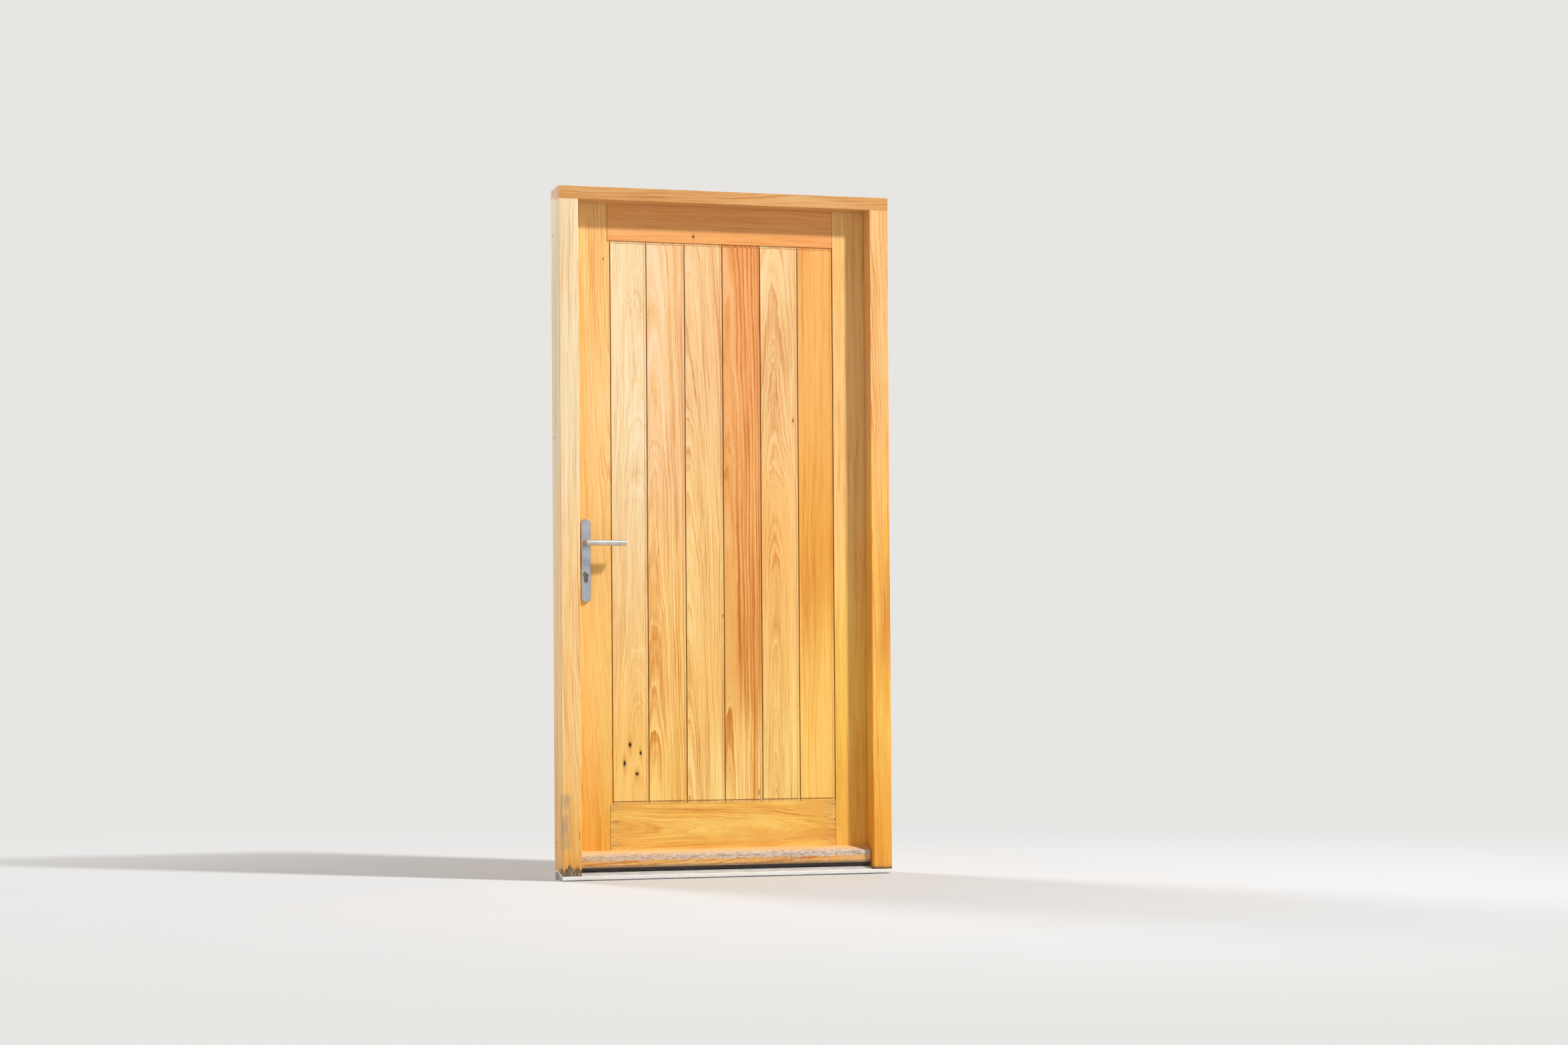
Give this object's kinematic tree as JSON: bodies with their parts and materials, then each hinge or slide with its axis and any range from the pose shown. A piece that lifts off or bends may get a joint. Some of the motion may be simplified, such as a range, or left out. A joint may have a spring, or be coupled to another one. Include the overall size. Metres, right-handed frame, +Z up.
{
  "type": "boarded front door",
  "caption": "Boarded oak front door in its rebated frame: an inward-swinging leaf on butt hinges, with lever handles, a multipoint lock, a weatherboard and a metal threshold.",
  "frame": {"origin": "under the threshold, in the middle of the frame's width and depth", "axes": "+X to the right as seen from outside, towards the hinges; +Y from outside to inside; +Z up"},
  "size_m": [1.013, 0.184, 2.045],
  "materials": {
    "frame_oak": "oiled oak, orange brown, weathered at the feet",
    "leaf_oak": "oiled oak, golden",
    "board_oak": "oiled oak, boards of differing tone",
    "weatherboard_oak": "weathered oak, grey along its front edge",
    "foam": "rigid insulating foam",
    "threshold_metal": "mill finished, dusty",
    "seal_rubber": "matt black",
    "satin_steel": "satin",
    "lock_steel": "zinc plated",
    "cylinder_metal": "nickel plated brass",
    "hinge_steel": "satin",
    "screw_steel": "zinc plated"
  },
  "bodies": {
    "frame": {"head": "frame_oak", "lock_jamb": "frame_oak", "hinge_jamb": "frame_oak", "threshold": "threshold_metal", "frame_seals": "seal_rubber", "frame_screws": "screw_steel", "hinge_pins": "hinge_steel", "centre_keep": "lock_steel", "upper_keep": "lock_steel", "lower_keep": "lock_steel", "lower_jamb_flap": "hinge_steel", "middle_jamb_flap": "hinge_steel", "upper_jamb_flap": "hinge_steel"},
    "leaf": {"lock_stile": "leaf_oak", "hinge_stile": "leaf_oak", "top_rail": "leaf_oak", "bottom_rail": "leaf_oak", "outer_board_1": "board_oak", "outer_board_2": "board_oak", "outer_board_3": "board_oak", "outer_board_4": "board_oak", "outer_board_5": "board_oak", "outer_board_6": "board_oak", "inner_board_1": "board_oak", "inner_board_2": "board_oak", "inner_board_3": "board_oak", "inner_board_4": "board_oak", "inner_board_5": "board_oak", "inner_board_6": "board_oak", "weatherboard": "weatherboard_oak", "insulation_core": "foam", "seal_carrier": "threshold_metal", "drip_seal": "seal_rubber", "bottom_seal": "seal_rubber", "outer_backplate": "satin_steel", "inner_backplate": "satin_steel", "backplate_bolts": "satin_steel", "return_spring": "lock_steel", "lock_faceplate": "lock_steel", "lock_case": "lock_steel", "upper_hook_case": "lock_steel", "lower_hook_case": "lock_steel", "cylinder_body": "cylinder_metal", "key_plug": "cylinder_metal", "lower_leaf_flap": "hinge_steel", "middle_leaf_flap": "hinge_steel", "upper_leaf_flap": "hinge_steel", "leaf_screws": "screw_steel"},
    "lever": {"outer_lever": "satin_steel", "inner_lever": "satin_steel", "lever_grub_screws": "satin_steel", "spindle": "lock_steel", "follower": "lock_steel"},
    "latch": {"latch_bolt": "lock_steel"},
    "turn": {"thumb_turn": "satin_steel", "cam_plug": "cylinder_metal"},
    "deadbolt": {"deadbolt": "lock_steel"},
    "upper_hook": {"upper_hook": "lock_steel"},
    "lower_hook": {"lower_hook": "lock_steel"},
    "drive": {"drive_bars": "lock_steel"}
  },
  "joints": [
    {"name": "leaf_swing", "type": "hinge", "parent": "frame", "child": "leaf", "pos_m": [0.459, 0.065, 1], "axis": [0, 0, -1], "range_deg": [0, 105]},
    {"name": "lever_turn", "type": "hinge", "parent": "leaf", "child": "lever", "pos_m": [-0.4195, 0.0315, 0.995], "axis": [0, 1, 0], "range_deg": [0, 35], "stiffness_Nm_per_rad": 1.5, "springref_deg": -28.65},
    {"name": "latch_slide", "type": "slide", "parent": "leaf", "child": "latch", "axis": [1, 0, 0], "range_m": [0, 0.01201]},
    {"name": "thumb_turn_spin", "type": "hinge", "parent": "leaf", "child": "turn", "pos_m": [-0.4195, 0.0315, 0.903], "axis": [0, 1, 0], "range_deg": [0, 360.1]},
    {"name": "deadbolt_slide", "type": "slide", "parent": "leaf", "child": "deadbolt", "axis": [-1, 0, 0], "range_m": [0, 0.02001]},
    {"name": "upper_hook_turn", "type": "hinge", "parent": "leaf", "child": "upper_hook", "pos_m": [-0.4415, 0.0315, 1.644], "axis": [0, -1, 0], "range_deg": [0, 106.05]},
    {"name": "lower_hook_turn", "type": "hinge", "parent": "leaf", "child": "lower_hook", "pos_m": [-0.4415, 0.0315, 0.244], "axis": [0, 1, 0], "range_deg": [0, 106.05]},
    {"name": "drive_bar_slide", "type": "slide", "parent": "leaf", "child": "drive", "axis": [0, 0, 1], "range_m": [0, 0.01]}
  ],
  "couplings": [
    {"joint": "latch_slide", "follows": "lever_turn", "m_per_rad": 0.019644},
    {"joint": "thumb_turn_spin", "follows": "drive_bar_slide", "rad_per_m": 628.32},
    {"joint": "deadbolt_slide", "follows": "drive_bar_slide", "ratio": 2},
    {"joint": "upper_hook_turn", "follows": "drive_bar_slide", "rad_per_m": 185},
    {"joint": "lower_hook_turn", "follows": "drive_bar_slide", "rad_per_m": 185}
  ]
}
